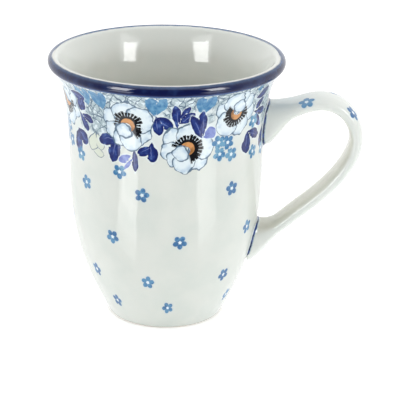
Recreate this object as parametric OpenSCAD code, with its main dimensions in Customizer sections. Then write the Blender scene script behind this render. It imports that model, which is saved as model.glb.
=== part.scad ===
// Stoneware mug with a flared lip and a strap handle.
// The foot stands on Z = 0, the axis of the cup is Z, and the handle points along +X.

/* [Cup] */
// Height from the table to the crest of the lip
cup_h = 120; // [100:1:150]
// Diameter across the outside of the lip
rim_d = 104; // [96:1:126]
// Diameter of the straight part of the body
belly_d = 86; // [70:1:94]
// Height at which the body stops widening
belly_h = 68; // [54:1:84]
// Diameter across the outside of the foot
foot_d = 53; // [42:1:64]
// Thickness of the wall
wall = 4.4; // [3:0.1:6]

/* [Lip] */
// Thickness of the rounded bead at the lip
lip_t = 5.2; // [4:0.1:7]
// Angle, measured below level, at which the body's flare runs into the bead
lip_wrap = 50; // [35:1:60]
// Thickness of the cobalt coat over the bead
band_t = 0.6; // [0.3:0.1:1]
// Angle below level at which the cobalt coat starts
band_low = 36; // [20:1:45]
// Angle above level at which the cobalt coat stops, where 90 is the crest
band_high = 102; // [70:1:120]

/* [Foot and floor] */
// Height of the inside floor above the table
floor_h = 8; // [6:0.5:14]
// Radius between the inside floor and the wall
floor_r = 10; // [6:0.5:14]
// Depth of the recess under the foot
recess_h = 2.4; // [1:0.1:4]
// Width of the flat ring that the mug stands on
ring_w = 3.2; // [2:0.1:6]
// Radius on the outer edge of the foot
foot_edge = 1.2; // [0.6:0.1:2]

/* [Handle] */
// Distance from the side of the body to the outside of the handle
handle_reach = 44.5; // [36:0.5:56]
// Distance from the crest of the lip down to the middle of the upper root
upper_drop = 30; // [24:0.5:36]
// Height of the middle of the lower root
lower_h = 34.5; // [28:0.5:44]
// Rise of the handle's crest above the middle of the upper root
handle_rise = 10.5; // [4:0.5:14]
// Drop of the handle's outermost point below the middle of the upper root
bend_drop = 6; // [0:0.5:14]
// Thickness of the strap at its crest
strap_t = 6.6; // [5:0.1:9]
// Thickness of the strap where it comes down to the lower root
tail_t = 5.8; // [5:0.1:9]
// Width of the strap at its crest
strap_w = 18; // [12:0.5:22]
// Width of the strap where it comes down to the lower root
tail_w = 16; // [12:0.5:22]
// Height of each root where it meets the wall
root_t = 20; // [14:0.5:24]
// Width of each root where it meets the wall
root_w = 19; // [14:0.5:24]
// Distance over which the upper root thins down to the strap, along its top
upper_flare_top = 16; // [10:0.5:30]
// The same along its underside
upper_flare_under = 12.5; // [8:0.5:26]
// Distance over which the lower root thins down to the strap, along its top
lower_flare_top = 10; // [8:0.5:26]
// The same along its underside
lower_flare_under = 14.5; // [8:0.5:26]

/* [Slip joints] */
// Thickness of the slip between the wall and the handle
slip_t = 0.8; // [0.4:0.1:1.4]
// How far the slip shows around each root
slip_edge = 0.8; // [0.4:0.1:2]

/* [Hidden] */

foot_r = foot_d / 2;
belly_r = belly_d / 2;
bead_r = lip_t / 2;
bead_x = rim_d / 2 - bead_r;
bead_z = cup_h - bead_r;
upper_h = cup_h - upper_drop;

curve_steps = 24;      // straight pieces in each curve of the cup's outline
arc_step = 6;          // degrees between the points of a small arc
fillet_steps = 10;     // straight pieces in the fillet inside the floor
round_fn = 180;        // sides of a revolved solid in a preview
handle_steps = 15;     // rings in each of the handle's four curves
handle_sides = 28;     // points around a ring of the handle
strap_power = 2.6;     // 2 gives an oval strap, more gives it flatter faces
root_sink = 3.4;       // how far the bare end of the handle runs into the wall before it is cut back
pad_reach = 6;         // half the length of the block that trims a slip joint

// A point of a cubic curve with control points p, for t from 0 to 1
function bezier(p, t) = pow(1 - t, 3) * p[0] + 3 * pow(1 - t, 2) * t * p[1]
    + 3 * (1 - t) * t * t * p[2] + pow(t, 3) * p[3];
// The direction of that curve
function heading(p, t) = pow(1 - t, 2) * (p[1] - p[0]) + 2 * (1 - t) * t * (p[2] - p[1])
    + t * t * (p[3] - p[2]);
function unit(v) = v / norm(v);
function polar(centre, radius, angle) = centre + radius * [cos(angle), sin(angle)];
function arc(centre, radius, from, to) = let (n = ceil(abs(to - from) / arc_step))
    [for (i = [0:n]) polar(centre, radius, from + (to - from) * i / n)];
function reversed(list) = [for (i = [len(list) - 1:-1:0]) list[i]];

// Outside of the body: a full curve from the foot to the belly, then a slow one that flares into the bead
bead = [bead_x, bead_z];
foot_corner = [foot_r, foot_edge];
belly = [belly_r, belly_h];
flare_end = polar(bead, bead_r, -lip_wrap);
flare_dir = [sin(lip_wrap), cos(lip_wrap)];
neck = flare_end - belly;
lower_curve = [
    foot_corner,
    foot_corner + [0.62 * (belly_r - foot_r), 0.30 * belly_h],
    belly - [0.02 * (belly_r - foot_r), 0.47 * belly_h],
    belly
];
upper_curve = [
    belly,
    belly + [0.05 * neck[0], 0.49 * neck[1]],
    flare_end - 0.2 * neck[1] * flare_dir,
    flare_end
];
lower_side = [for (i = [0:curve_steps]) bezier(lower_curve, i / curve_steps)];
upper_side = [for (i = [1:curve_steps]) bezier(upper_curve, i / curve_steps)];
side = concat(lower_side, upper_side);

// The same outline moved along its own normal, outwards for a positive distance
side_heading = concat(
    [for (i = [0:curve_steps]) heading(lower_curve, i / curve_steps)],
    [for (i = [1:curve_steps]) heading(upper_curve, i / curve_steps)]
);
function moved_side(distance) = [for (i = [0:len(side) - 1])
    let (d = unit(side_heading[i])) side[i] + distance * [d[1], -d[0]]];

// Radius of the body's outside at height z
side_table = [for (p = side) [p[1], p[0]]];
function side_r(z) = lookup(z, side_table);

// Inside of the cup: the wall's inner face above the floor fillet, then the fillet down to the floor
inner_side = [for (p = moved_side(-wall)) if (p[1] > floor_h + floor_r) p];
fillet_top = inner_side[0];
fillet_foot = [fillet_top[0] - 0.95 * floor_r, floor_h];
fillet_curve = [
    fillet_foot,
    fillet_foot + [0.6 * floor_r, 0],
    fillet_top - 0.55 * floor_r * unit(inner_side[1] - inner_side[0]),
    fillet_top
];
fillet = [for (i = [0:fillet_steps - 1]) bezier(fillet_curve, i / fillet_steps)];

// Underside: the standing ring, and the recess inside it
ring_outer = foot_r - foot_edge;
ring_inner = ring_outer - ring_w;
recess_slope = 0.5 * recess_h;
underside = [
    [0, recess_h],
    [ring_inner - recess_slope, recess_h],
    [ring_inner, 0]
];
foot_round = arc([ring_outer, foot_edge], foot_edge, -90, 0);

// The lip: a round bead, cut back by the coat's thickness where the cobalt lies
inner_wrap = 180;
bead_below = arc(bead, bead_r, -lip_wrap, -band_low);
bead_coated = arc(bead, bead_r - band_t, -band_low, band_high);
bead_above = arc(bead, bead_r, band_high, inner_wrap);
bead_inner = bead_above[len(bead_above) - 1];
wall_below_bead = [for (p = inner_side) if (p[1] < bead_inner[1] - bead_r) p];

module cup_body() {
    color("ivory")
    rotate_extrude($fn = round_fn)
    polygon(concat(
        underside, foot_round, [for (i = [1:len(side) - 2]) side[i]],
        bead_below, bead_coated, bead_above,
        reversed(wall_below_bead), reversed(fillet), [[0, floor_h]]
    ));
}

module rim_band() {
    color("midnightblue")
    rotate_extrude($fn = round_fn)
    polygon(concat(arc(bead, bead_r, -band_low, band_high), reversed(bead_coated)));
}

// Handle: four curves from the upper root over the crest, round the outside and down to the lower root
upper_wall = side_r(upper_h);
lower_wall = side_r(lower_h);
upper_root = [upper_wall - root_sink, upper_h];
lower_root = [lower_wall - root_sink, lower_h];
outermost = [belly_r + handle_reach - strap_t / 2, upper_h - bend_drop];
crest = [upper_root[0] + 0.65 * (outermost[0] - upper_root[0]), upper_h + handle_rise];
tail = outermost - lower_root;
middle = lower_root + [0.53 * tail[0], 0.34 * tail[1]];
tail_dir = unit([0.28 * tail[0], 0.22 * tail[1]]);
tail_pull = 0.2 * norm(tail);
handle_curves = [
    [upper_root, upper_root + [0.2 * (crest[0] - upper_root[0]) + root_sink, 0.1 * handle_rise],
        crest - [0.4 * (crest[0] - upper_root[0]), 0], crest],
    [crest, crest + [0.55 * (outermost[0] - crest[0]), 0],
        outermost + [0, 0.55 * (crest[1] - outermost[1])], outermost],
    [outermost, outermost - [0, 0.22 * tail[1]], middle + 1.1 * tail_pull * tail_dir, middle],
    [middle, middle - 0.8 * tail_pull * tail_dir, lower_root + [0.2 * tail[0], 0.03 * tail[1]], lower_root]
];

// How much of a root's extra size is left at distance d from the wall
function root_share(d, flare) = let (q = min(1, max(0, d) / flare))
    pow(1 - q, 2) * (1 + 0.6 * q);
function signed_power(v, power) = sign(v) * pow(abs(v), power);

// Shares of a root's extra size at distance x from the axis, on the outer and the inner face of the handle
function upper_shares(x) = [
    root_share(x - side_r(upper_h + root_t / 2), upper_flare_top),
    root_share(x - side_r(upper_h - root_t / 2), upper_flare_under)
];
function lower_shares(x) = [
    root_share(x - side_r(lower_h - root_t / 2), lower_flare_under),
    root_share(x - side_r(lower_h + root_t / 2), lower_flare_top)
];
function shares_at(curve_no, x) = curve_no < 2 ? upper_shares(x) : lower_shares(x);

// One ring of the handle: a rounded strap section square to its curve, thicker and wider at the roots.
// progress runs from 0 at the upper root to 1 at the lower one, as the strap tapers.
function handle_ring(curve, t, shares, progress) = let (
        centre = bezier(curve, t),
        along = unit(heading(curve, t)),
        plain_t = strap_t + (tail_t - strap_t) * progress,
        plain_w = strap_w + (tail_w - strap_w) * progress,
        half_t = [for (share = shares) (plain_t + (root_t - plain_t) * share) / 2],
        half_w = (plain_w + (root_w - plain_w) * (shares[0] + shares[1]) / 2) / 2
    )
    [for (k = [0:handle_sides - 1]) let (
            angle = 360 * k / handle_sides,
            u = half_t[cos(angle) > 0 ? 0 : 1] * signed_power(cos(angle), 2 / strap_power),
            v = half_w * signed_power(sin(angle), 2 / strap_power)
        )
        [centre[0] - u * along[1], v, centre[1] + u * along[0]]];

handle_rings = [for (c = [0:3]) for (i = [(c == 0 ? 0 : 1):handle_steps])
    let (t = i / handle_steps)
    handle_ring(handle_curves[c], t, shares_at(c, bezier(handle_curves[c], t)[0]), (c + t) / 4)];

module sweep(rings) {
    n = len(rings[0]);
    last = len(rings) - 1;
    polyhedron(
        points = [for (r = rings) for (p = r) p],
        faces = concat(
            [[for (k = [0:n - 1]) k]],
            [for (i = [0:last - 1]) for (k = [0:n - 1]) let (m = (k + 1) % n)
                [i * n + m, i * n + k, (i + 1) * n + k, (i + 1) * n + m]],
            [[for (k = [n - 1:-1:0]) last * n + k]]
        )
    );
}

// The solid inside the body's outside surface moved out by a distance
module solid_body(distance) {
    rotate_extrude($fn = round_fn)
    polygon(concat(
        [[0, foot_edge]], moved_side(distance), [[0, flare_end[1]]]
    ));
}

module handle() {
    color("ivory")
    difference() {
        sweep(handle_rings);
        solid_body(slip_t);
    }
}

// A slip joint: the shell between the wall and the handle, trimmed to an oval around the root
module slip_joint(wall_x, height) {
    half_h = root_t / 2 + slip_edge;
    half_w = root_w / 2 + slip_edge;
    outline = [for (k = [0:handle_sides * 2 - 1]) let (angle = 180 * k / handle_sides)
        [half_h * signed_power(cos(angle), 2 / strap_power),
         half_w * signed_power(sin(angle), 2 / strap_power)]];
    color("royalblue")
    difference() {
        intersection() {
            solid_body(slip_t);
            translate([wall_x - pad_reach, 0, height])
            rotate([0, 90, 0])
            linear_extrude(2 * pad_reach)
            polygon(outline);
        }
        solid_body(0);
    }
}

module upper_slip_joint() {
    slip_joint(upper_wall, upper_h);
}

module lower_slip_joint() {
    slip_joint(lower_wall, lower_h);
}

cup_body();
rim_band();
handle();
upper_slip_joint();
lower_slip_joint();
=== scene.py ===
"""Looks of the stoneware mug: thrown cup, rolled cobalt rim, strap handle and painted flowers.

Lengths are in millimetres until a mesh is made, and angles round the cup are measured from the
middle of the camera's view towards the handle.
"""

import math

import bpy
import numpy as np
from mathutils import Matrix, Vector


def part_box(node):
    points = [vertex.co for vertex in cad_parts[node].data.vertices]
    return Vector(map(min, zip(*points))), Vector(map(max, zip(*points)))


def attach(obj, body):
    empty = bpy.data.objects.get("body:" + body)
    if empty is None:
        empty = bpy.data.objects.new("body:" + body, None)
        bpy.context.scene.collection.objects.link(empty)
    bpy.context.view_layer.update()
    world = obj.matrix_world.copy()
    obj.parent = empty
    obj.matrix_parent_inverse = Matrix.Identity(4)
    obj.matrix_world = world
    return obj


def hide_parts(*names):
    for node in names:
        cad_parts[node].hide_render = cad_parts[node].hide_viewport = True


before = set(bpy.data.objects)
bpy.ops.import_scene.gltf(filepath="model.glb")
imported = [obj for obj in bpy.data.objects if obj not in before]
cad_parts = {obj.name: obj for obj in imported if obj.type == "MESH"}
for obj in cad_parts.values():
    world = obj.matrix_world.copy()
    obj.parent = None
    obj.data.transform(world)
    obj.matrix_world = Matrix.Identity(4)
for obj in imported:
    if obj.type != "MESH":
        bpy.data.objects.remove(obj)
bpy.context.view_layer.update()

MM = 0.001
BODY = "root"

# The camera: its distance, height angle and lens, and how far round from -Y it stands
VIEW_DISTANCE = 700.0
VIEW_ELEVATION = 21.0
VIEW_TURN = 2.5
VIEW_ROLL = 0.9
VIEW_SIDESTEP = 15.4
VIEW_AIM_HEIGHT = 51.65
LENS = 139.3

# Paint coordinates: u runs round the cup as if it had this radius everywhere, z is the height
PAINT_R = 44.0
PAINT_ROUND = 2 * math.pi * PAINT_R

COLUMNS = 288          # columns of faces round the cup
WALL_STEP = 1.1        # height of a row of faces on the wall
RIM_STEP = 0.35
CORNER = 24.0          # degrees: sharper turns than this stay corners in an outline


# ---------------------------------------------------------------- outlines from the frame

def seam_outline(node):
    """A revolved CAD node's outline in the plane of the handle, as ordered (radius, height) points."""
    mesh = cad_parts[node].data
    spots = {}
    for v in mesh.vertices:
        if abs(v.co.y) < 1e-6 and v.co.x > 0:
            spots[v.index] = (round(v.co.x / MM, 3), round(v.co.z / MM, 3))
    links = {}
    for edge in mesh.edges:
        a, b = (spots.get(i) for i in edge.vertices)
        if a is not None and b is not None and a != b:
            links.setdefault(a, set()).add(b)
            links.setdefault(b, set()).add(a)
    ends = sorted((p for p in links if len(links[p]) == 1), key=lambda p: p[1])
    walk = [ends[0] if ends else min(links, key=lambda p: p[1])]
    while True:
        ahead = [p for p in links[walk[-1]] if p not in walk]
        if not ahead:
            return np.array(walk), not ends
        walk.append(min(ahead, key=lambda p: math.dist(p, walk[-1])))


def refined(points, step, closed=False):
    """The outline with each stretch between its corners made a smooth curve, in pieces of about step."""
    n = len(points)
    before, after = np.roll(points, 1, 0), np.roll(points, -1, 0)
    a, b = points - before, after - points
    turn = np.degrees(np.abs((np.arctan2(b[:, 1], b[:, 0]) - np.arctan2(a[:, 1], a[:, 0]) + np.pi)
                             % (2 * np.pi) - np.pi))
    corner = turn > CORNER
    if not closed:
        corner[0] = corner[-1] = True
    out = []
    for i in range(n if closed else n - 1):
        j = (i + 1) % n
        p, q = points[i], points[j]
        length = np.linalg.norm(q - p)
        ahead, behind = points[(j + 1) % n], points[i - 1]
        tangent_p = (q - p) if corner[i] else (q - behind) * length / (
            length + np.linalg.norm(p - behind))
        tangent_q = (q - p) if corner[j] else (ahead - p) * length / (
            length + np.linalg.norm(ahead - q))
        pieces = max(1, round(length / step))
        for k in range(pieces):
            t = k / pieces
            out.append((2 * t**3 - 3 * t**2 + 1) * p + (t**3 - 2 * t**2 + t) * tangent_p
                       + (3 * t**2 - 2 * t**3) * q + (t**3 - t**2) * tangent_q)
    if not closed:
        out.append(points[-1])
    return np.array(out)


cup_points, _ = seam_outline("cup_body")
rim_points, _ = seam_outline("rim_band")
cup_outline = refined(cup_points, WALL_STEP)
rim_outline = refined(rim_points, RIM_STEP, closed=True)

RIM_R = rim_points[:, 0].max()
LIP_Z = rim_points[:, 1].max()
BAND_Z = rim_points[:, 1].min()
FOOT_R = cup_points[cup_points[:, 1] < 0.01, 0].max()
top_row = int(np.argmax(cup_outline[:, 0]))
foot_row = int(np.argmax((cup_outline[:, 1] < 0.01) & (cup_outline[:, 0] > FOOT_R - 0.01)))
outer = cup_outline[foot_row:top_row + 1]

# The lip runs into the inside wall without a crease
past_lip = top_row + int(np.argmax(cup_outline[top_row:, 1] > LIP_Z - 0.1)) + 1
lip_end = past_lip + int(np.argmax(cup_outline[past_lip:, 1] < LIP_Z - 22))
for _ in range(16):
    cup_outline[past_lip:lip_end] = (cup_outline[past_lip - 1:lip_end - 1]
                                     + cup_outline[past_lip + 1:lip_end + 1]) / 2


def side_r(z):
    """Radius of the cup's outside at height z."""
    return np.interp(z, outer[:, 1], outer[:, 0])


# ---------------------------------------------------------------- meshes

def new_piece(name, points, faces, replaced):
    """A mesh object from points in millimetres, riding on the body and standing for its CAD node."""
    mesh = bpy.data.meshes.new(name)
    mesh.from_pydata((np.asarray(points) * MM).tolist(), [], [list(map(int, f)) for f in faces])
    mesh.update()
    mesh.shade_smooth()
    piece = bpy.data.objects.new(name, mesh)
    bpy.context.scene.collection.objects.link(piece)
    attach(piece, BODY)
    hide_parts(replaced)
    return piece


def grid_faces(rows, columns, wrap_rows=False):
    """Faces of a grid whose columns close into a ring, and its rows too if wrap_rows."""
    last = rows if wrap_rows else rows - 1
    i = np.repeat(np.arange(last), columns)
    j = np.tile(np.arange(columns), last)
    i2, j2 = (i + 1) % rows, (j + 1) % columns
    return np.stack([i * columns + j, i * columns + j2, i2 * columns + j2, i2 * columns + j], 1)


def revolved(outline, columns):
    """Points of the outline turned about Z, and the angle of each column from the view's middle."""
    angle = np.arange(columns) * 2 * math.pi / columns
    turned = angle - math.radians(90 - VIEW_TURN)
    r, z = outline[:, :1], outline[:, 1:]
    points = np.stack([r * np.cos(turned), r * np.sin(turned), z + 0 * turned], -1)
    return points.reshape(-1, 3), angle


def set_corner_vectors(piece, name, values):
    """Stores one vector for each corner of each face."""
    layer = piece.data.attributes.new(name, "FLOAT_VECTOR", "CORNER")
    layer.data.foreach_set("vector", np.ascontiguousarray(values, np.float32).ravel())


def set_corner_uv(piece, values):
    """The map that the finished colours are baked to."""
    layer = piece.data.uv_layers.new(name="OFBake")
    layer.data.foreach_set("uv", np.ascontiguousarray(values, np.float32).ravel())


# ---------------------------------------------------------------- the painter's motifs

# One group of the border. A lobe is (u, z) of its base, (u, z) of its tip and its width.
COBALT_LOBES = [
    ((-43.5, 93.0), (-45.6, 82.5), 6.4), ((-44.6, 93.0), (-37.0, 88.0), 5.6),
    ((-41.0, 101.5), (-36.5, 93.5), 3.8), ((-40.0, 101.0), (-32.5, 98.6), 3.6),
    ((-44.5, 110.5), (-35.5, 108.5), 4.2), ((-36.5, 109.5), (-40.5, 102.5), 5.0),
    ((-19.6, 93.6), (-29.8, 91.4), 6.0), ((-21.0, 95.0), (-22.8, 82.6), 5.6),
    ((-20.8, 92.5), (-20.0, 85.5), 2.2), ((-12.7, 90.5), (-12.3, 79.5), 2.9),
    ((-5.2, 94.0), (-4.6, 84.5), 4.8), ((-4.2, 91.5), (-11.2, 88.0), 4.6),
    ((-3.2, 106.0), (-1.8, 97.0), 4.4), ((-3.2, 105.5), (3.8, 100.0), 4.8),
    ((5.6, 99.8), (4.4, 111.0), 3.8), ((5.8, 103.5), (10.4, 110.4), 2.6),
    ((6.0, 102.4), (12.4, 106.8), 4.4), ((41.0, 94.0), (40.6, 83.4), 6.4),
    ((40.5, 93.6), (50.8, 89.6), 4.6), ((43.8, 101.8), (54.5, 100.0), 3.6),
    ((46.5, 100.8), (50.0, 94.0), 3.6), ((43.0, 108.4), (51.5, 111.0), 5.4),
    ((50.5, 107.6), (45.0, 102.8), 3.8),
]
VIOLET_LOBES = [
    ((-14.2, 87.0), (-19.8, 83.6), 3.6), ((-13.2, 86.0), (-17.6, 80.2), 1.7),
    ((47.0, 97.5), (52.0, 93.8), 2.4),
]
# Lobes that lie over the middle poppy's petals
OVER_COBALT = [((16.0, 95.0), (11.6, 105.4), 4.2), ((16.2, 95.4), (15.8, 107.2), 4.2)]
OVER_VIOLET = [((16.6, 95.6), (22.4, 98.2), 5.4)]
SKY_LOBES = [
    ((-34.5, 106.5), (-38.5, 114.8), 4.2), ((-34.0, 106.0), (-32.8, 115.0), 3.8),
    ((-25.8, 105.8), (-30.2, 114.8), 4.6), ((-26.2, 106.0), (-24.4, 115.0), 4.0),
    ((-3.4, 105.6), (-5.2, 115.0), 5.2), ((-2.8, 106.4), (0.6, 114.8), 4.4),
    ((16.2, 105.6), (13.8, 114.8), 4.8), ((16.4, 106.2), (19.4, 114.8), 4.6),
    ((44.0, 111.5), (40.5, 115.0), 2.6),
]
BUD_LOBES = [((-32.0, 94.5), (-34.8, 85.6), 5.6), ((-31.0, 94.0), (-28.6, 86.8), 5.0),
             ((-34.0, 86.2), (-27.8, 84.6), 3.6)]
# A poppy is (u, z) of its middle, the turn of its opening in degrees, and its size
POPPIES = [(-15.2, 100.6, -26.0, 1.0), (10.0, 90.8, -46.0, 1.0), (32.0, 104.0, 168.0, 0.96)]
# A small flower is (u, z)
BORDER_SPOTS = [(-43.2, 81.6), (-19.8, 78.8), (28.9, 91.2), (25.0, 86.6), (31.2, 85.4), (24.2, 92.0),
                (46.4, 82.9), (44.6, 97.4)]
# Patches of line foliage: (u, z, radius)
FOLIAGE = [(-31.5, 102.0, 6.5), (-18.0, 114.0, 5.0), (-11.0, 114.5, 5.0), (5.5, 111.5, 5.5),
           (9.5, 109.5, 4.0), (23.0, 111.0, 5.0), (34.5, 113.0, 6.0), (-32.0, 96.0, 3.5),
           (1.5, 106.5, 3.0), (43.0, 106.0, 4.0), (56.0, 98.0, 5.0), (57.0, 108.0, 7.0), (-46.0, 104.0, 5.0),
           (-24.0, 109.0, 3.5), (19.0, 104.0, 3.0), (-38.0, 97.0, 4.0)]
# Where the group is repeated round the cup
GROUPS = [0.0, -84.0, 100.0]
FIRST_GROUP = (-49.0, 56.0)   # the stretch that only the first group paints
LAST_GROUP_END = 139.0        # where the last group stops, short of the second one's start

# Small flowers scattered over the body: height of each row, and where it starts
SPOT_ROWS = [(69.5, -39.5), (47.7, -24.5), (26.9, -40.5), (12.5, -31.0)]
SPOT_GAPS = [(30.0, 42.0, 34.0), (32.0, 38.5, 30.5), (32.5, 42.0, 33.0), (33.5, 43.5, 32.0)]

FAR_OFF = 40.0         # a motif place that lies outside every motif

rng = np.random.default_rng(11)


def kept(shift, u):
    """Whether a repeated group still shows a motif at u: groups don't paint over one another."""
    return shift == 0 or (u < FIRST_GROUP[0] or u > FIRST_GROUP[1]) and u < LAST_GROUP_END


def lobes(shapes, kind):
    """Rows of (u, z, turn, length, half width, tag) for a list of lobes, in every group."""
    rows = []
    for shift in GROUPS:
        for (u0, z0), (u1, z1), width in shapes:
            if not kept(shift, u0 + shift):
                continue
            turn = math.atan2(z1 - z0, u1 - u0)
            rows.append((u0 + shift, z0, turn, math.hypot(u1 - u0, z1 - z0), width / 2,
                         kind + 0.9 * rng.random()))
    return rows


def poppies():
    rows = []
    for shift in GROUPS:
        for u, z, turn, size in POPPIES:
            if not kept(shift, u + shift):
                continue
            sway = 0 if shift == 0 else rng.uniform(-14, 14)
            rows.append((u + shift, z, math.radians(turn + sway), size, size, rng.random()))
    return rows


def spots():
    rows = []
    for shift in GROUPS:
        for u, z in BORDER_SPOTS:
            if not kept(shift, u + shift):
                continue
            rows.append((u + shift, z, rng.uniform(0, 6.28), 1.0, 1.0, 1 + 0.9 * rng.random()))
    for (z, start), gaps in zip(SPOT_ROWS, SPOT_GAPS):
        u, k = start, 0
        while u < start + PAINT_ROUND - 25:
            jitter = 0 if k < 3 else rng.uniform(-1.5, 1.5)
            rows.append((u + jitter, z + jitter / 2, rng.uniform(0, 6.28), 1.0, 1.0, 0.9 * rng.random()))
            u += gaps[k] if k < 3 else 34.5
            k += 1
    return rows


def wrapped(du):
    return (du + PAINT_ROUND / 2) % PAINT_ROUND - PAINT_ROUND / 2


def lobe_width(t):
    """Half width of a lobe from its base at t = 0 to its tip at 1, as a share of its widest."""
    t = np.clip(t, 0, 1)
    return np.sin(math.pi * t**1.45) ** 0.62


def stamped(u, z, motifs, is_lobe, reach):
    """For each face the nearest motif, and its corners' places in that motif's own coordinates.

    u and z hold each face's corners. Faces further than reach from every motif get a far-off place.
    """
    middle_u, middle_z = u.mean(1), z.mean(1)
    best = np.full(len(u), reach, float)
    out = np.full(u.shape + (3,), FAR_OFF)
    out[..., 2] = 0
    for u0, z0, turn, length, half, tag in motifs:
        du, dz = wrapped(middle_u - u0), middle_z - z0
        x = (du * math.cos(turn) + dz * math.sin(turn)) / length
        y = (dz * math.cos(turn) - du * math.sin(turn)) / half
        if is_lobe:
            past = np.maximum(np.abs(x - 0.5) - 0.5, 0) * length
            score = (np.abs(y) - lobe_width(x)) * half + past
        else:
            score = np.hypot(x, y)
        near = score < best
        best[near] = score[near]
        cu = du[near, None] + u[near] - middle_u[near, None]
        cz = z[near] - z0
        out[near, :, 0] = (cu * math.cos(turn) + cz * math.sin(turn)) / length
        out[near, :, 1] = (cz * math.cos(turn) - cu * math.sin(turn)) / half
        out[near, :, 2] = tag
    return out


# ---------------------------------------------------------------- materials

class Value:
    """A number in a material's graph. Arithmetic on it adds Math nodes."""

    def __init__(self, paint, socket):
        self.paint, self.socket = paint, socket

    def __add__(self, other):
        return self.paint.math("ADD", self, other)

    def __sub__(self, other):
        return self.paint.math("SUBTRACT", self, other)

    def __rsub__(self, other):
        return self.paint.math("SUBTRACT", other, self)

    def __mul__(self, other):
        return self.paint.math("MULTIPLY", self, other)

    def __truediv__(self, other):
        return self.paint.math("DIVIDE", self, other)

    def __abs__(self):
        return self.paint.math("ABSOLUTE", self)

    def __pow__(self, other):
        return self.paint.math("POWER", self, other)

    __radd__, __rmul__ = __add__, __mul__


class Paint:
    """A material whose colour is built up in coats, like the painter's own."""

    def __init__(self, name, roughness=0.1, specular=0.5, coat=0.0):
        self.material = bpy.data.materials.new(name)
        self.material.use_nodes = True
        self.tree = self.material.node_tree
        self.shader = self.tree.nodes["Principled BSDF"]
        self.shader.inputs["Roughness"].default_value = roughness
        self.shader.inputs["Specular IOR Level"].default_value = specular
        self.shader.inputs["IOR"].default_value = 1.5
        self.shader.inputs["Coat Weight"].default_value = coat
        self.shader.inputs["Coat Roughness"].default_value = 0.03
        place = self.tree.nodes.new("ShaderNodeTexCoord")
        self.place = self.scaled(place.outputs["Object"], 1 / MM)

    def put(self, node, index, value):
        """Links or sets an input of a node."""
        socket = node.inputs[index]
        if isinstance(value, Value):
            value = value.socket
        if isinstance(value, bpy.types.NodeSocket):
            self.tree.links.new(value, socket)
        elif isinstance(value, tuple) and socket.type == "RGBA":
            socket.default_value = value + (1.0,)
        else:
            socket.default_value = value

    def math(self, operation, *values, clamp=False):
        node = self.tree.nodes.new("ShaderNodeMath")
        node.operation, node.use_clamp = operation, clamp
        for i, value in enumerate(values):
            self.put(node, i, value)
        return Value(self, node.outputs[0])

    def lowest(self, a, b):
        return self.math("MINIMUM", a, b)

    def highest(self, a, b):
        return self.math("MAXIMUM", a, b)

    def scaled(self, vector, by):
        node = self.tree.nodes.new("ShaderNodeVectorMath")
        node.operation = "SCALE"
        self.put(node, 0, vector)
        node.inputs["Scale"].default_value = by
        return node.outputs[0]

    def split(self, vector):
        node = self.tree.nodes.new("ShaderNodeSeparateXYZ")
        self.put(node, 0, vector)
        return [Value(self, s) for s in node.outputs]

    def joined(self, x, y, z):
        node = self.tree.nodes.new("ShaderNodeCombineXYZ")
        for i, value in enumerate((x, y, z)):
            self.put(node, i, value)
        return node.outputs[0]

    def corner_vector(self, name):
        node = self.tree.nodes.new("ShaderNodeAttribute")
        node.attribute_name = name
        return self.split(node.outputs["Vector"])

    def noise(self, size, detail=2.0, rough=0.5, place=None):
        """A noise with features of about size millimetres: its value, and three values round 0."""
        node = self.tree.nodes.new("ShaderNodeTexNoise")
        self.put(node, "Vector", place or self.place)
        node.inputs["Scale"].default_value = 1 / size
        node.inputs["Detail"].default_value = detail
        node.inputs["Roughness"].default_value = rough
        return Value(self, node.outputs["Fac"]), node.outputs["Color"]

    def sway(self, size, amount, detail=2.0):
        """Three noise values between about -amount and amount."""
        return [(v - 0.5) * (2 * amount) for v in self.split(self.noise(size, detail)[1])]

    def ramp(self, value, start, end, low=0.0, high=1.0):
        node = self.tree.nodes.new("ShaderNodeMapRange")
        node.interpolation_type = "SMOOTHSTEP"
        for i, v in enumerate((value, start, end, low, high)):
            self.put(node, i, v)
        return Value(self, node.outputs[0])

    def mixed(self, share, below, above):
        node = self.tree.nodes.new("ShaderNodeMix")
        node.data_type = "RGBA"
        self.put(node, 0, share)
        self.put(node, 6, below)
        self.put(node, 7, above)
        return node.outputs[2]

    def inside(self, field, soft=0.14):
        """1 where the field is below 0, with an edge soft millimetres wide."""
        return self.math("MULTIPLY_ADD", field, -1 / soft, 0.5, clamp=True)

    def bump(self, height, depth, normal=None):
        """A bump whose full height is depth millimetres."""
        node = self.tree.nodes.new("ShaderNodeBump")
        node.inputs["Strength"].default_value = 1.0
        node.inputs["Distance"].default_value = depth * MM
        self.put(node, "Height", height)
        if normal is not None:
            self.put(node, "Normal", normal)
        return node.outputs[0]

    def finish(self, colour, roughness=None, normal=None):
        self.put(self.shader, "Base Color", colour)
        if roughness is not None:
            self.put(self.shader, "Roughness", roughness)
        if normal is not None:
            self.put(self.shader, "Normal", normal)
        return self.material


def rgb(red, green, blue):
    """Linear colour from the usual 0 to 255 display values."""
    return tuple(((c / 255 + 0.055) / 1.055) ** 2.4 if c > 10 else c / 255 / 12.92
                 for c in (red, green, blue))


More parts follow.
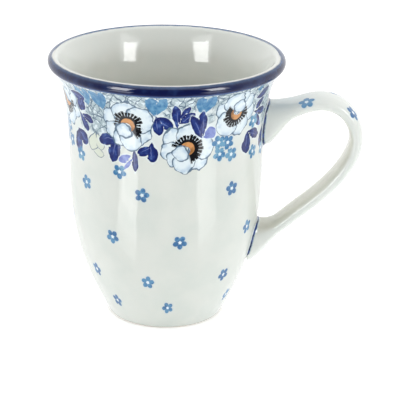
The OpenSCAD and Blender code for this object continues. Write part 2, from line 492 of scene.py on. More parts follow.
GLAZE = rgb(219, 223, 217)
GLAZE_THICK = rgb(213, 219, 213)
GLAZE_INSIDE = rgb(221, 222, 215)
INSIDE_SHADE = rgb(190, 190, 176)
HANDLE_INNER_SHADE = rgb(212, 211, 198)
PAINTED_LIGHT_WHITE = rgb(234, 238, 234)
CLAY = rgb(196, 176, 148)
CLAY_DARK = rgb(150, 128, 102)
NAVY = rgb(8, 18, 66)
RIM_EDGE = rgb(54, 84, 136)
RIM_TOP = rgb(66, 100, 142)
COBALT = rgb(40, 60, 128)
COBALT_DARK = rgb(27, 38, 98)
COBALT_WASH = rgb(88, 116, 174)
VIOLET = rgb(98, 114, 184)
VIOLET_WASH = rgb(136, 152, 208)
SKY = rgb(64, 120, 166)
SKY_WASH = rgb(108, 158, 190)
PETAL = rgb(225, 237, 242)
PETAL_SHADE = rgb(182, 204, 222)
OUTLINE = rgb(86, 110, 132)
FOLIAGE_INK = rgb(84, 108, 128)
FOLIAGE_WASH = rgb(162, 182, 190)
BUD = rgb(213, 220, 206)
STAMEN = rgb(14, 15, 20)
STAMEN_WASH = rgb(72, 76, 84)
POLLEN = rgb(208, 150, 96)
POLLEN_DARK = rgb(152, 104, 60)
SPOT = rgb(100, 148, 186)
SPOT_DARK = rgb(72, 114, 160)
SPOT_SKY = rgb(110, 160, 190)


def glaze_surface(paint, soft=1.0):
    """The glaze's own relief: long waves from throwing and a very fine orange peel."""
    waves, _ = paint.noise(17.0, 1.0)
    ripple, _ = paint.noise(4.5, 1.0)
    peel, _ = paint.noise(0.7, 1.0)
    normal = paint.bump(waves, 0.16 * soft)
    normal = paint.bump(ripple, 0.02 * soft, normal)
    return paint.bump(peel, 0.004 * soft, normal)


def glaze_colour(paint):
    """White glaze over stoneware, slightly uneven."""
    cloud, _ = paint.noise(14.0, 3.0)
    colour = paint.mixed(paint.ramp(cloud, 0.35, 0.7), GLAZE, GLAZE_THICK)
    bloom, _ = paint.noise(3.0, 2.0)
    return paint.mixed(paint.ramp(bloom, 0.6, 0.8) * 0.3, colour, GLAZE_INSIDE)


def poppy_coats(paint, colour):
    """A white poppy: six outlined petals, a fan of black stamens, an ochre crescent, a folded petal."""
    x, y, tag = paint.corner_vector("poppy")
    wide = paint.sway(6.0, 1.2, 1.0)
    ruffle = paint.sway(2.6, 0.75, 0.0)
    fine = paint.sway(1.1, 0.22, 2.0)
    x = x + wide[0] + ruffle[0] + fine[0]
    y = y + wide[1] + ruffle[1] + fine[1]
    wash, _ = paint.noise(2.6, 3.0)

    def petal(colour, direction, distance, long, across, veins=True):
        c, s = math.cos(math.radians(direction)), math.sin(math.radians(direction))
        p = x * c + y * s - distance
        q = y * c - x * s
        round_off = paint.math("SQRT", (p / long) * (p / long) + (q / across) * (q / across))
        field = (round_off - 1) * min(long, across)
        shade = paint.ramp(field, -3.0, 0.0) * paint.ramp(wash, 0.34, 0.6)
        fill = paint.mixed(shade, PETAL, PETAL_SHADE)
        if veins:
            stroke = paint.math("SINE", q * 5.2 + fine[0] * 6)
            stroke = paint.ramp(stroke, 0.72, 1.0) * paint.ramp(p, -0.62 * long, -0.1 * long, 0.5, 0.0)
            fill = paint.mixed(stroke * 0.7, fill, OUTLINE)
        colour = paint.mixed(paint.inside(field), colour, fill)
        width = 0.13 + paint.ramp(wash, 0.35, 0.65) * 0.22
        ink = paint.inside(abs(field) - width, 0.16)
        return paint.mixed(ink * 0.95, colour, OUTLINE)

    for direction, distance, long, across in [
            (186, 6.8, 4.9, 4.7), (-6, 6.6, 4.5, 4.8), (232, 6.6, 4.4, 4.3), (268, 7.2, 3.6, 3.4),
            (304, 6.6, 4.6, 4.8), (124, 6.0, 5.2, 5.9), (54, 6.2, 5.4, 6.2)]:
        colour = petal(colour, direction, distance, long, across)

    # The fan: dashes round the middle, dense at the inside, with a dot at each tip
    cx, cy, _ = paint.corner_vector("poppy")
    cx = cx + fine[0] * 0.8
    cy = cy + fine[1] * 0.8
    r = paint.math("SQRT", cx * cx + cy * cy)
    turn = paint.math("ARCTAN2", cx, cy)
    dashes = 24.0
    step = turn * (dashes / (2 * math.pi))
    number = paint.math("ROUND", step)
    lottery = paint.tree.nodes.new("ShaderNodeTexWhiteNoise")
    lottery.noise_dimensions = "2D"
    paint.put(lottery, "Vector", paint.joined(number, tag, 0.0))
    luck = Value(paint, lottery.outputs["Value"])
    sideways = abs(step - number + fine[1] * 0.35) * r * (2 * math.pi / dashes)
    tip = 5.7 + luck * 1.5
    thick = 0.4 + paint.ramp(r, 4.4, 5.8) * 0.26 + (luck - 0.5) * 0.16
    dash = paint.inside(paint.highest(sideways - thick, r - tip), 0.16)
    dense = paint.inside(paint.highest(r - (3.9 + luck * 1.5), 2.6 - r), 0.2)
    solid = paint.inside(paint.highest(abs(turn - 1.8) - 0.5, r - 5.9 + fine[0] * 2), 0.25)
    within = paint.inside(paint.highest(abs(turn + 0.05) - 2.15, 2.5 - r), 0.15)
    dark = paint.highest(paint.highest(dash, dense), solid) * within
    ink = paint.mixed(paint.ramp(wash, 0.45, 0.75) * solid * 0.8, STAMEN, STAMEN_WASH)
    colour = paint.mixed(dark, colour, ink)

    # The crescent, and the petal folded up in front of it
    low = cy + 1.5
    bite = 2.25 - paint.math("SQRT", cx * cx + low * low)
    crescent = paint.highest(r - 3.05, bite)
    pollen = paint.mixed(paint.ramp(wash + cx * 0.05, 0.4, 0.75), POLLEN, POLLEN_DARK)
    colour = paint.mixed(paint.inside(crescent, 0.2), colour, pollen)
    return petal(colour, -98, 3.3, 3.0, 3.7, veins=False)


def lobe_field(paint, name, length, half, wobble):
    """How far, in millimetres, a point lies outside its nearest lobe, and its place in the lobe."""
    t, y, tag = paint.corner_vector(name)
    t = t + wobble[0] * (1 / length)
    y = y + wobble[1] * (1 / half)
    share = paint.math("MULTIPLY_ADD", t, 1.0, 0.0, clamp=True)
    width = paint.highest(paint.math("SINE", share**1.45 * math.pi), 0.0) ** 0.62
    past = (abs(t - 0.5) - 0.5) * length
    return paint.highest((abs(y) - width) * half, past), t, y, tag


def lobe_wobble(paint):
    """The brush's own unsteadiness, as two offsets in millimetres."""
    slow = paint.sway(4.5, 0.7, 1.0)
    quick = paint.sway(1.6, 0.3, 2.0)
    return slow[0] + quick[0], slow[1] + quick[1]


def sky_coats(paint, colour):
    """Light-blue leaves hanging from the rim, and pale buds outlined in grey."""
    wobble = lobe_wobble(paint)
    wash, _ = paint.noise(2.1, 3.0)
    field, t, y, tag = lobe_field(paint, "sky", 9.0, 2.2, wobble)
    fill = paint.mixed(paint.ramp(wash, 0.36, 0.72), SKY, SKY_WASH)
    vein = paint.inside(abs(y) - 0.05, 0.12) * paint.ramp(t, 0.3, 0.45) * 0.5
    colour = paint.mixed(paint.inside(field, 0.3), colour, paint.mixed(vein, fill, SKY_WASH))
    field, t, y, tag = lobe_field(paint, "bud", 8.0, 2.6, wobble)
    colour = paint.mixed(paint.inside(field), colour, BUD)
    return paint.mixed(paint.inside(abs(field) - 0.22) * 0.95, colour, FOLIAGE_INK)


def leaf_coats(paint, colour, name):
    """Cobalt and violet leaves: a wet uneven wash, a pale vein, and bare glaze left round the edge."""
    wobble = lobe_wobble(paint)
    wash, _ = paint.noise(2.4, 3.0)
    field, t, y, tag = lobe_field(paint, name, 9.0, 2.1, wobble)
    halo = paint.inside(field - 0.5, 0.6) * 0.6
    colour = paint.mixed(halo, colour, PETAL)
    dark = paint.ramp(wash + paint.ramp(field, -1.6, -0.1) * 0.16, 0.42, 0.7)
    fill = paint.mixed(dark, COBALT, COBALT_DARK)
    fill = paint.mixed(paint.ramp(wash, 0.46, 0.24) * 0.8, fill, COBALT_WASH)
    violet = paint.mixed(paint.ramp(wash, 0.35, 0.7), VIOLET_WASH, VIOLET)
    fill = paint.mixed(paint.math("GREATER_THAN", tag, 1.0), fill, violet)
    vein = paint.inside(abs(y + 0.12) - 0.05, 0.12) * paint.ramp(t, 0.2, 0.3) * paint.ramp(t, 0.8, 0.6)
    fill = paint.mixed(vein * 0.6, fill, VIOLET_WASH)
    return paint.mixed(paint.inside(field, 0.18), colour, fill)


def foliage_coats(paint, colour):
    """Grey-green line work between the flowers: the outlines of many slim crossing leaves."""
    mask, _, _ = paint.corner_vector("zone")
    u, z, _ = paint.corner_vector("sheet")
    wobble = paint.sway(3.0, 1.3, 1.0)
    u, z = u + wobble[0], z + wobble[2]
    line = 0.0
    for turn, size, stretch in ((52, 3.3, 0.38), (-38, 3.7, 0.42)):
        c, s = math.cos(math.radians(turn)), math.sin(math.radians(turn))
        cells = paint.tree.nodes.new("ShaderNodeTexVoronoi")
        cells.voronoi_dimensions = "2D"
        cells.feature = "DISTANCE_TO_EDGE"
        paint.put(cells, "Vector", paint.joined((u * c + z * s) * stretch, z * c - u * s, 0.0))
        cells.inputs["Scale"].default_value = 1 / size
        edge = Value(paint, cells.outputs["Distance"]) * size
        line = paint.highest(line, paint.inside(edge - 0.16, 0.18))
    tone, _ = paint.noise(1.8, 2.0)
    tint = paint.mixed(paint.ramp(tone, 0.48, 0.64) * 0.85, FOLIAGE_WASH, PETAL)
    ground = paint.mixed(mask * 0.9, colour, tint)
    return paint.mixed(line * mask * paint.ramp(tone, 0.3, 0.5, 0.4, 1.0), ground, FOLIAGE_INK)


def spot_coats(paint, colour, name="spot"):
    """Small five-petalled flowers, printed with a sponge: darker on one side, pale in the middle."""
    x, y, tag = paint.corner_vector(name)
    fine = paint.sway(1.1, 0.16, 1.0)
    x = x + fine[0]
    y = y + fine[1]
    r = paint.math("SQRT", x * x + y * y)
    turn = paint.math("ARCTAN2", y, x)
    fifth = 2 * math.pi / 5
    number = paint.math("ROUND", turn / fifth)
    a = turn - number * fifth
    px = r * paint.math("COSINE", a) - 2.0
    py = r * paint.math("SINE", a)
    petals = paint.math("SQRT", px * px * 0.8 + py * py) - 1.2
    heart = 0.72 - r
    field = paint.highest(petals, heart)
    wash, _ = paint.noise(1.5, 3.0)
    side, _ = paint.noise(7.0, 0.0)
    dark = paint.ramp(wash * 0.6 + side * 0.5, 0.46, 0.64)
    body = paint.mixed(dark, SPOT, SPOT_DARK)
    light = paint.mixed(dark, SPOT_SKY, SKY)
    fill = paint.mixed(paint.math("GREATER_THAN", tag, 1.0), body, light)
    glow = paint.inside(field - 0.5, 0.9) * 0.25
    colour = paint.mixed(glow, colour, PETAL_SHADE)
    colour = paint.mixed(paint.inside(r - 0.9, 0.3), colour, PETAL)
    return paint.mixed(paint.inside(field, 0.22), colour, fill)


def painted_cup():
    paint = Paint("painted_glaze")
    x, y, z = paint.split(paint.place)
    mask, border, within = paint.corner_vector("zone")
    colour = glaze_colour(paint)
    colour = paint.mixed(border * 0.5, colour, PETAL)
    colour = foliage_coats(paint, colour)
    colour = sky_coats(paint, colour)
    colour = leaf_coats(paint, colour, "leaf")
    colour = poppy_coats(paint, colour)
    colour = leaf_coats(paint, colour, "over")
    colour = spot_coats(paint, colour)
    edge = paint.sway(5.0, 0.35, 2.0)[0]
    colour = paint.mixed(paint.inside(BAND_Z - 0.55 - z + edge, 0.3), colour, RIM_EDGE)
    cloud, _ = paint.noise(9.0, 2.0)
    liner = paint.mixed(paint.ramp(cloud, 0.3, 0.7) * 0.4, GLAZE_INSIDE, GLAZE_THICK)
    # Painted shade: the inside glaze darkens towards the floor of the cup.
    liner = paint.mixed(paint.ramp(z, 100.0, 78.0) * 0.7, liner, INSIDE_SHADE)
    # Painted light: the inside glaze brightens towards the lip.
    liner = paint.mixed(paint.ramp(z, 104.0, 117.0) * 0.6, liner, PAINTED_LIGHT_WHITE)
    colour = paint.mixed(within, colour, liner)
    lap = within * paint.ramp(y, 5.0, 35.0) * paint.inside(LIP_Z - 0.3 - z + edge * 0.5, 0.3)
    colour = paint.mixed(lap, colour, RIM_TOP)
    grit, _ = paint.noise(0.5, 3.0, 0.7)
    bare = paint.inside(z - 0.35 + (grit - 0.5) * 0.3, 0.12)
    colour = paint.mixed(bare, colour, paint.mixed(paint.ramp(grit, 0.4, 0.62), CLAY, CLAY_DARK))
    smear, _ = paint.noise(6.0, 2.0)
    gloss = paint.ramp(smear, 0.3, 0.7, 0.035, 0.07)
    rough = gloss + bare * 0.6
    normal = paint.bump(grit * bare, 0.12, glaze_surface(paint))
    return paint.finish(colour, rough, normal)


def cobalt_rim():
    paint = Paint("cobalt_rim")
    x, y, z = paint.split(paint.place)
    wash, _ = paint.noise(5.0, 3.0)
    pool, _ = paint.noise(1.4, 2.0)
    colour = paint.mixed(paint.ramp(wash, 0.4, 0.72) * 0.25, NAVY, RIM_EDGE)
    top = paint.ramp(z, LIP_Z - 1.3, LIP_Z)
    colour = paint.mixed(top * paint.ramp(pool, 0.3, 0.65, 0.4, 0.65), colour, RIM_TOP)
    radius = paint.math("SQRT", x * x + y * y)
    edge = RIM_R - 1.9 + paint.sway(6.0, 0.3, 2.0)[0] - paint.ramp(y, -12.0, 30.0, 0.0, 4.0)
    colour = paint.mixed(paint.inside(radius - edge, 0.7), colour, GLAZE_INSIDE)
    low = paint.ramp(z, BAND_Z + 0.5, BAND_Z)
    colour = paint.mixed(low * 0.6, colour, RIM_EDGE)
    gloss = paint.ramp(wash, 0.3, 0.7, 0.04, 0.08)
    return paint.finish(colour, gloss, glaze_surface(paint, 0.6))


def painted_handle():
    paint = Paint("handle_glaze")
    facing, _, _ = paint.corner_vector("facing")
    # Painted light: the handle's glaze is mixed half way to white, for its faces turned up to the lamps.
    colour = paint.mixed(0.5, glaze_colour(paint), PAINTED_LIGHT_WHITE)
    # Painted shade: the handle's inner face, marked by the facing values, is darkened to a warm grey.
    colour = paint.mixed(paint.ramp(facing, 0.1, 0.7) * 0.9, colour, HANDLE_INNER_SHADE)
    colour = spot_coats(paint, colour)
    smear, _ = paint.noise(6.0, 2.0)
    return paint.finish(colour, paint.ramp(smear, 0.3, 0.7, 0.035, 0.07), glaze_surface(paint))


def joint_glaze():
    """Slip joint: the glaze runs over it, and a cobalt line is drawn along it."""
    paint = Paint("joint_glaze")
    across, _, _ = paint.corner_vector("across")
    sway = paint.sway(4.0, 0.12, 2.0)[0]
    fine = paint.sway(0.9, 0.05, 1.0)[0]
    place = across + sway + fine
    colour = glaze_colour(paint)
    thin, _ = paint.noise(2.5, 2.0)
    bleed = paint.inside(abs(place - 0.5) - 0.3, 0.16)
    colour = paint.mixed(bleed * 0.75, colour, SPOT_SKY)
    line = paint.inside(abs(place - 0.5) - 0.2, 0.12)
    ink = paint.mixed(paint.ramp(thin, 0.4, 0.7), NAVY, COBALT)
    colour = paint.mixed(line, colour, ink)
    return paint.finish(colour, paint.ramp(thin, 0.3, 0.7, 0.07, 0.12), glaze_surface(paint, 0.5))


# ---------------------------------------------------------------- the cup

def make_cup():
    points, angle = revolved(cup_outline, COLUMNS)
    rows = len(cup_outline)
    faces = grid_faces(rows, COLUMNS)
    quads = len(faces)
    caps = [list(range(COLUMNS))[::-1], [(rows - 1) * COLUMNS + j for j in range(COLUMNS)]]
    cup = new_piece("painted_cup", points, list(faces) + caps, "cup_body")

    step = 2 * math.pi / COLUMNS
    row = np.repeat(np.arange(rows - 1), COLUMNS)
    column = np.tile(np.arange(COLUMNS), rows - 1)
    ahead = np.array([0, 1, 1, 0])
    above = np.array([0, 0, 1, 1])
    u = (column[:, None] + ahead) * step * PAINT_R
    z = cup_outline[row[:, None] + above, 1]
    outside = (row >= foot_row) & (row < top_row)

    def everywhere(values, rest):
        """Corner values for the quads, and the same constant for both round caps."""
        tail = np.tile(np.array(rest, float), (2 * COLUMNS, 1))
        return np.concatenate([values.reshape(-1, len(rest)), tail])

    for name, motifs, is_lobe, reach in (
            ("leaf", lobes(COBALT_LOBES, 0) + lobes(VIOLET_LOBES, 1), True, 3.0),
            ("over", lobes(OVER_COBALT, 0) + lobes(OVER_VIOLET, 1), True, 3.0),
            ("sky", lobes(SKY_LOBES, 0), True, 2.0), ("bud", lobes(BUD_LOBES, 0), True, 2.0),
            ("poppy", poppies(), False, 16.0), ("spot", spots(), False, 5.0)):
        local = stamped(u, z, motifs, is_lobe, reach)
        local[~outside] = (FAR_OFF, FAR_OFF, 0.0)
        set_corner_vectors(cup, name, everywhere(local, (FAR_OFF, FAR_OFF, 0.0)))

    flat_u, flat_z = u.ravel(), z.ravel()
    mask = np.zeros(len(flat_u))
    for shift in GROUPS:
        for fu, fz, radius in FOLIAGE:
            d = np.hypot(wrapped(flat_u - fu - shift), flat_z - fz)
            mask = np.maximum(mask, np.clip((radius - d) / 1.5, 0, 1))
    mask = np.maximum(mask, np.clip((flat_z - 108) / 3, 0, 1))
    border = np.clip((flat_z - 88) / 12, 0, 1)
    inner = np.repeat(row >= top_row, 4).astype(float)
    zone = np.stack([mask * (1 - inner), border * (1 - inner), inner], 1)
    set_corner_vectors(cup, "zone", everywhere(zone, (0.0, 0.0, 1.0)))
    behind = u.mean(1, keepdims=True) > PAINT_ROUND / 2
    sheet = np.stack([u - PAINT_ROUND * behind, z, 0 * z], -1)
    set_corner_vectors(cup, "sheet", everywhere(sheet, (0.0, 0.0, 0.0)))
    set_corner_uv(cup, cup_map(cup_outline, row, column, ahead, above))
    cup.data.materials.append(painted_cup())
    return cup


def cup_map(outline, row, column, ahead, above):
    """The cup unrolled on the unit square: body, the border in two halves, then everything else."""
    border_row = int(np.argmax((outline[:, 1] > 74) & (np.arange(len(outline)) > foot_row)))
    run = np.concatenate([[0], np.cumsum(np.linalg.norm(np.diff(outline, axis=0), axis=1))])
    share = (column[:, None] + ahead) / COLUMNS
    here = run[row[:, None] + above]
    kind = np.where(row < foot_row, 3, np.where(row < border_row, 0, np.where(row < top_row, 1, 3)))

    def along(first, last):
        return (here - run[first]) / (run[last] - run[first])

    left, right = 0.004, 0.996
    u = left + (right - left) * share
    v = 0.005 + 0.315 * along(foot_row, border_row)
    half = (column >= COLUMNS // 2)[:, None] & (kind == 1)[:, None]
    u = np.where((kind == 1)[:, None], left + (right - left) * (share * 2 - half), u)
    v = np.where((kind == 1)[:, None], 0.328 + 0.282 * along(border_row, top_row) + 0.288 * half, v)
    inside = (row >= top_row)[:, None]
    v = np.where(inside, 0.903 + 0.06 * along(top_row, len(outline) - 1), v)
    v = np.where((row < foot_row)[:, None], 0.968 + 0.006 * along(0, foot_row), v)
    disc = np.arange(COLUMNS) * 2 * math.pi / COLUMNS
    circle = np.stack([np.cos(disc), np.sin(disc)], 1) * 0.009
    underside = circle[::-1] + (0.25, 0.988)
    floor = circle + (0.75, 0.988)
    return np.concatenate([np.stack([u, v], -1).reshape(-1, 2), underside, floor])


def make_rim():
    points, _ = revolved(rim_outline, COLUMNS)
    faces = grid_faces(len(rim_outline), COLUMNS, wrap_rows=True)
    if np.cross(rim_outline[1] - rim_outline[0], rim_outline.mean(0) - rim_outline[0]) < 0:
        faces = faces[:, ::-1]
    rim = new_piece("rolled_rim", points, faces, "rim_band")
    rim.data.set_sharp_from_angle(angle=math.radians(50))
    rim.data.materials.append(cobalt_rim())
    return rim


# ---------------------------------------------------------------- the handle

STRAP_T = 6.6          # thickness of the strap at the crest
TAIL_T = 5.8           # and where it comes down to the lower root
STRAP_W = 18.0         # width of the strap at the crest
TAIL_W = 16.0          # and where it comes down to the lower root
UPPER_FLARES = (16.0, 12.5)   # distances over which the upper root thins, outer face and inner
LOWER_FLARES = (14.5, 10.0)   # the same for the lower root
BEND_DROP = 6.0        # drop of the outermost point below the upper root
SLIP_EDGE = 0.8        # how far each slip joint shows round its root
SINK = 3.4             # how far the roots run into the wall
STRAP_POWER = 2.6      # 2 would be an oval section
HANDLE_SIDES = 56
HANDLE_RINGS = 44      # rings in each of the four curves

handle_low, handle_high = (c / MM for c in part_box("handle"))
upper_low, upper_high = (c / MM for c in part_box("upper_slip_joint"))
lower_low, lower_high = (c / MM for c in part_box("lower_slip_joint"))
UPPER_Z = (upper_low.z + upper_high.z) / 2
LOWER_Z = (lower_low.z + lower_high.z) / 2
ROOT_T = upper_high.z - upper_low.z - 2 * SLIP_EDGE
ROOT_W = 19.0          # width of each root on the wall


def bezier(p, t):
    p = [np.array(q, float) for q in p]
    return (1 - t)**3 * p[0] + 3 * (1 - t)**2 * t * p[1] + 3 * (1 - t) * t * t * p[2] + t**3 * p[3]


def heading(p, t):
    p = [np.array(q, float) for q in p]
    d = (1 - t)**2 * (p[1] - p[0]) + 2 * (1 - t) * t * (p[2] - p[1]) + t * t * (p[3] - p[2])
    return d / np.linalg.norm(d)


def handle_curves():
    """The strap's middle line, as four curves from the upper root to the lower one."""
    upper = np.array([side_r(UPPER_Z) - SINK, UPPER_Z])
    lower = np.array([side_r(LOWER_Z) - SINK, LOWER_Z])
    rise = handle_high.z - STRAP_T / 2 - UPPER_Z
    outermost = np.array([handle_high.x - STRAP_T / 2, UPPER_Z - BEND_DROP])
    crest = np.array([upper[0] + 0.65 * (outermost[0] - upper[0]), UPPER_Z + rise])
    tail = outermost - lower
    middle = lower + (0.53 * tail[0], 0.34 * tail[1])
    along = np.array([0.28 * tail[0], 0.22 * tail[1]])
    along = along / np.linalg.norm(along)
    pull = 0.2 * np.linalg.norm(tail)
    return [
        [upper, upper + (0.2 * (crest[0] - upper[0]) + SINK, 0.1 * rise),
         crest - (0.4 * (crest[0] - upper[0]), 0), crest],
        [crest, crest + (0.55 * (outermost[0] - crest[0]), 0),
         outermost + (0, 0.55 * (crest[1] - outermost[1])), outermost],
        [outermost, outermost - (0, 0.22 * tail[1]), middle + 1.1 * pull * along, middle],
        [middle, middle - 0.8 * pull * along, lower + (0.2 * tail[0], 0.03 * tail[1]), lower],
    ]


def root_share(distance, flare):
    """How much of a root's extra size is left at a distance from the wall."""
    q = min(1.0, max(0.0, distance) / flare)
    return (1 - q)**2 * (1 + 0.6 * q)


def root_shares(curve_number, x):
    """Those shares on the outer and the inner face of the handle, at distance x from the axis."""
    if curve_number < 2:
        edges, flares = (UPPER_Z + ROOT_T / 2, UPPER_Z - ROOT_T / 2), UPPER_FLARES
    else:
        edges, flares = (LOWER_Z - ROOT_T / 2, LOWER_Z + ROOT_T / 2), LOWER_FLARES
    return [root_share(x - side_r(z), flare) for z, flare in zip(edges, flares)]


def handle_rings():
    """Rings of points round the strap, from inside the wall at one root to inside it at the other."""
    k = np.arange(HANDLE_SIDES) * 2 * math.pi / HANDLE_SIDES
    power = 2 / STRAP_POWER
    across = np.sign(np.cos(k)) * np.abs(np.cos(k))**power
    sideways = np.sign(np.sin(k)) * np.abs(np.sin(k))**power
    rings = []
    for c, curve in enumerate(handle_curves()):
        for i in range(0 if c == 0 else 1, HANDLE_RINGS + 1):
            t = i / HANDLE_RINGS
            centre, along = bezier(curve, t), heading(curve, t)
            progress = (c + t) / 4
            plain_t = STRAP_T + (TAIL_T - STRAP_T) * progress
            plain_w = STRAP_W + (TAIL_W - STRAP_W) * progress
            shares = root_shares(c, centre[0])
            outer_t, inner_t = [(plain_t + (ROOT_T - plain_t) * share) / 2 for share in shares]
            half_w = (plain_w + (ROOT_W - plain_w) * sum(shares) / 2) / 2
            u = np.where(across > 0, outer_t, inner_t) * across
            v = half_w * sideways
            rings.append(np.stack([centre[0] - u * along[1], v, centre[1] + u * along[0]], 1))
    rings = np.array(rings)
    deepest = side_r(rings[..., 2]) - SINK
    buried = np.hypot(rings[..., 0], rings[..., 1]) < deepest
    rings[..., 0] = np.where(buried, np.sqrt(deepest**2 - rings[..., 1]**2), rings[..., 0])
    return rings


# Small flowers on the handle: share of the way along it, turn round the strap from the camera's
# side over the top in degrees, and the flower's own turn
HANDLE_SPOTS = [(0.2, 48.0, 0.3), (0.385, 58.0, 1.0), (0.3, 128.0, 2.0)]


def make_handle(rings):
    count = len(rings)
    faces = grid_faces(count, HANDLE_SIDES)[:, ::-1]
    caps = [list(range(HANDLE_SIDES)), [(count - 1) * HANDLE_SIDES + k for k in range(HANDLE_SIDES)][::-1]]
    handle = new_piece("strap_handle", rings.reshape(-1, 3), list(faces) + caps,
                       "handle")
    mesh = handle.data
    ring_no = np.repeat(np.arange(count - 1), HANDLE_SIDES)[:, None] + (1, 1, 0, 0)
    side_no = np.tile(np.arange(HANDLE_SIDES), count - 1)[:, None] + (0, 1, 1, 0)
    middle_line = rings.mean(1)
    run = np.concatenate([[0], np.cumsum(np.linalg.norm(np.diff(middle_line, axis=0), axis=1))])
    closed = np.concatenate([rings, rings[:, :1]], 1)
    girth = np.zeros(closed.shape[:2])
    girth[:, 1:] = np.cumsum(np.linalg.norm(np.diff(closed, axis=1), axis=2), axis=1)
    local = np.full(faces.shape + (3,), FAR_OFF)
    local[..., 2] = 0
    for share, turn, spin in HANDLE_SPOTS:
        ring = int(share * (count - 1))
        side = (turn - 90) / 360 * HANDLE_SIDES
        side = int(round(side)) % HANDLE_SIDES
        p = run[ring_no] - run[ring]
        q = girth[ring_no, side_no] - girth[ring_no, side]
        near = np.hypot(p.mean(1), q.mean(1)) < 4.5
        local[near, :, 0] = p[near] * math.cos(spin) + q[near] * math.sin(spin)
        local[near, :, 1] = q[near] * math.cos(spin) - p[near] * math.sin(spin)
        local[near, :, 2] = 0.2
    tail = np.tile([FAR_OFF, FAR_OFF, 0.0], (2 * HANDLE_SIDES, 1))
    set_corner_vectors(handle, "spot", np.concatenate([local.reshape(-1, 3), tail]))
    # The facing values mark the handle's inner face for painted shade, growing from the upper root to full
    # strength halfway along.
    inner = np.clip(-np.cos(side_no * 2 * math.pi / HANDLE_SIDES), 0, 1) * np.clip(ring_no / count * 2, 0, 1)
    facing = np.stack([inner, 0 * inner, 0 * inner], -1).reshape(-1, 3)
    set_corner_vectors(handle, "facing", np.concatenate([facing, 0 * tail]))
    mesh.materials.append(painted_handle())
    return handle


# ---------------------------------------------------------------- the slip joints

JOINT_ON_HANDLE = 1.7   # how far the slip joint's fillet climbs the handle
JOINT_ON_WALL = 1.1     # and how far it spreads over the wall
JOINT_ARC = 10          # faces across the fillet


def gap(p):
    """Distance of a point from the axis, less the cup's radius at its height."""
    return np.hypot(p[..., 0], p[..., 1]) - side_r(p[..., 2])


def crossing(line, level):
    """The point where a line of points leaving the wall first stands level clear of it."""
    g = gap(line)
    i = int(np.argmax(g > level))
    share = (level - g[i - 1]) / (g[i] - g[i - 1])
    return line[i - 1] + (line[i] - line[i - 1]) * share


def on_wall(u, z, lift):
    """A point on the cup at an arc distance u from the handle's plane, raised by lift."""
    r = side_r(z)
    return np.array([(r + lift) * math.cos(u / r), (r + lift) * math.sin(u / r), z])


def make_joint(name, rings, root_z, replaced):
    """A small concave fillet of slip round a root, closed underneath."""
    loop, shares = [], None
    for k in range(HANDLE_SIDES):
        line = rings[:, k]
        corner = crossing(line, 0.0)
        high = crossing(line, JOINT_ON_HANDLE)
        u = math.atan2(corner[1], corner[0]) * side_r(corner[2])
        away = np.array([u, corner[2] - root_z])
        away = away / np.linalg.norm(away)
        low = on_wall(u + away[0] * JOINT_ON_WALL, corner[2] + away[1] * JOINT_ON_WALL, 0.0)
        bend = corner + 0.16 * (high - corner) + 0.16 * (low - corner)
        middle = on_wall(u * 0.97, root_z + (corner[2] - root_z) * 0.97, -0.5)
        t = np.linspace(0, 1, JOINT_ARC + 1)[:, None]
        arc = (1 - t)**2 * high + 2 * (1 - t) * t * bend + t**2 * low
        inward = (middle - arc)
        inward /= np.linalg.norm(inward, axis=1)[:, None]
        arc = arc + inward * np.where((t == 0) | (t == 1), 0.06, -0.02)
        loop.append(np.concatenate([arc, [middle]]))
    loop = np.array(loop).transpose(1, 0, 2)
    rows = len(loop)
    faces = grid_faces(rows, HANDLE_SIDES, wrap_rows=True)
    joint = new_piece(name, loop.reshape(-1, 3), faces, replaced)
    mesh = joint.data
    middle_face = mesh.polygons[len(mesh.polygons) // 4]
    outward = Vector(middle_face.center) - Vector((loop[-1].mean(0) * MM).tolist())
    shares = np.clip(np.arange(rows) / JOINT_ARC, 0, 1)
    values = np.zeros((len(mesh.loops), 3))
    index = np.zeros(len(mesh.loops), int)
    mesh.loops.foreach_get("vertex_index", index)
    values[:, 0] = shares[index // HANDLE_SIDES]
    values[index // HANDLE_SIDES == rows - 1, 0] = 9.0
    set_corner_vectors(joint, "across", values)
    mesh.set_sharp_from_angle(angle=math.radians(60))
    mesh.materials.append(joint_glaze())
    return joint


def face_outwards(piece):
    """Turns the mesh inside out if its volume comes out negative."""
    mesh = piece.data
    volume = 0.0
    for polygon in mesh.polygons:
        points = [mesh.vertices[i].co for i in polygon.vertices]
        for a, b in zip(points[1:-1], points[2:]):
            volume += points[0].dot(a.cross(b))
    if volume < 0:
        mesh.flip_normals()


rings = handle_rings()
pieces = [make_cup(), make_rim(), make_handle(rings),
          make_joint("upper_joint_fillet", rings, UPPER_Z, "upper_slip_joint"),
          make_joint("lower_joint_fillet", rings[::-1], LOWER_Z, "lower_slip_joint")]
for piece in pieces:
    face_outwards(piece)


# ---------------------------------------------------------------- studio

def make_floor():
    mesh = bpy.data.meshes.new("studio_floor")
    half = 6.0
    mesh.from_pydata([(-half, -half, 0), (half, -half, 0), (half, half, 0), (-half, half, 0)], [],
                     [(0, 1, 2, 3)])
    floor = bpy.data.objects.new("studio_floor", mesh)
    bpy.context.scene.collection.objects.link(floor)
    paint = Paint("studio_white", roughness=0.9, specular=0.1)
    tone, _ = paint.noise(400.0, 1.0)
    mesh.materials.append(paint.finish(paint.mixed(tone, (0.93, 0.93, 0.93), (0.95, 0.95, 0.95))))
    paint.shader.inputs["Emission Color"].default_value = (1, 1, 1, 1)
    paint.shader.inputs["Emission Strength"].default_value = 0.32
    floor.visible_glossy = False


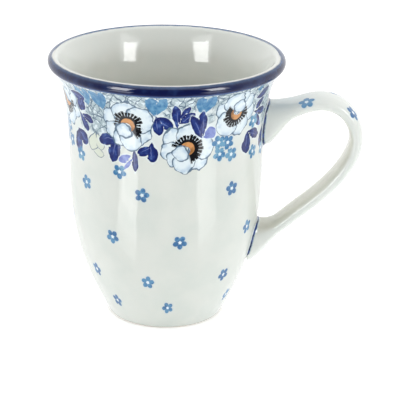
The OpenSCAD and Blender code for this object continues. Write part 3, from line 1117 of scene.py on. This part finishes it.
def make_world():
    """White behind the mug and for the camera, dimmer in front of it."""
    world = bpy.data.worlds.new("studio")
    bpy.context.scene.world = world
    world.use_nodes = True
    nodes, links = world.node_tree.nodes, world.node_tree.links
    background = nodes["Background"]
    background.inputs["Color"].default_value = (1, 1, 1, 1)
    place = nodes.new("ShaderNodeTexCoord")
    split = nodes.new("ShaderNodeSeparateXYZ")
    links.new(place.outputs["Generated"], split.inputs[0])
    shade = nodes.new("ShaderNodeMapRange")
    shade.interpolation_type = "SMOOTHSTEP"
    for i, value in enumerate((0.0, -0.85, 0.25, 0.1, 1.12)):
        shade.inputs[i].default_value = value
    links.new(split.outputs[1], shade.inputs[0])
    path = nodes.new("ShaderNodeLightPath")
    pick = nodes.new("ShaderNodeMix")
    links.new(path.outputs["Is Camera Ray"], pick.inputs[0])
    links.new(shade.outputs[0], pick.inputs[2])
    pick.inputs[3].default_value = 1.05
    links.new(pick.outputs[0], background.inputs["Strength"])


# The long glints down the cup, from below the floor's level: name, azimuth, elevation, height, power
LOW_GLINTS = [
    ("left_low_glint_1", -41, -16, 0.42, 2.1),
    ("left_low_glint_2", -46.5, -28, 0.21, 0.7),
    ("left_low_glint_3", -51, -36, 0.2, 0.3),
    ("right_low_glint_1", 46, -16, 0.42, 1.5),
    ("right_low_glint_2", 53, -28, 0.21, 0.5),
    ("right_low_glint_3", 59, -36, 0.2, 0.1),
]
LOW_WIDTH = 0.46
LOW_LEAN_LEFT = -27.0
LOW_LEAN_RIGHT = 31.0


def softbox(name, azimuth, elevation, size, power, distance=1.3, lean=0.0, only_glints=False):
    """An area light that faces the mug, from an azimuth measured round from the camera.

    size is its width and height in metres, and lean how far it is turned in its own plane.
    """
    data = bpy.data.lights.new(name, "AREA")
    data.shape, data.energy = "RECTANGLE", power
    data.size, data.size_y = size
    light = bpy.data.objects.new(name, data)
    a, e = math.radians(azimuth + VIEW_TURN), math.radians(elevation)
    back = Vector((math.sin(a) * math.cos(e), -math.cos(a) * math.cos(e), math.sin(e)))
    facing = back.to_track_quat("Z", "Y").to_matrix() @ Matrix.Rotation(math.radians(lean), 3, "Z")
    light.location = Vector((0, 0, LIP_Z * MM / 2)) + back * distance
    light.rotation_euler = facing.to_euler()
    light.visible_diffuse = not only_glints
    bpy.context.scene.collection.objects.link(light)


def make_camera():
    e, roll = math.radians(VIEW_ELEVATION), math.radians(VIEW_ROLL)
    turn = Matrix.Rotation(math.radians(VIEW_TURN), 3, "Z")
    back = turn @ Vector((0, -math.cos(e), math.sin(e)))
    right = turn @ Vector((1, 0, 0))
    up = turn @ Vector((0, math.sin(e), math.cos(e)))
    data = bpy.data.cameras.new("view")
    data.lens, data.sensor_width = LENS, 36.0
    data.clip_start, data.clip_end = 0.05, 20.0
    camera = bpy.data.objects.new("view", data)
    bpy.context.scene.collection.objects.link(camera)
    across = right * math.cos(roll) + up * math.sin(roll)
    upright = up * math.cos(roll) - right * math.sin(roll)
    place = Vector((0, 0, VIEW_AIM_HEIGHT)) + back * VIEW_DISTANCE + right * VIEW_SIDESTEP
    camera.matrix_world = Matrix.Translation(place * MM) @ Matrix((across, upright, back)).transposed().to_4x4()
    bpy.context.scene.camera = camera


make_floor()
make_world()
softbox("left_softbox", -44, 22, (0.5, 1.0), 3.9)
softbox("right_softbox", 50, 22, (0.5, 1.0), 3.9)
softbox("left_glint", -43, 22, (0.36, 0.8), 8.0, distance=1.25, only_glints=True)
softbox("right_glint", 49, 22, (0.32, 0.74), 6.6, distance=1.25, only_glints=True)
for name, azimuth, elevation, height, power in LOW_GLINTS:
    lean = LOW_LEAN_LEFT if azimuth < 0 else LOW_LEAN_RIGHT
    softbox(name, azimuth, elevation, (LOW_WIDTH, height), power, lean=lean, only_glints=True)
softbox("top_softbox", 0, 80, (1.2, 1.2), 2.4)
make_camera()
bpy.context.scene.view_settings.view_transform = "Standard"
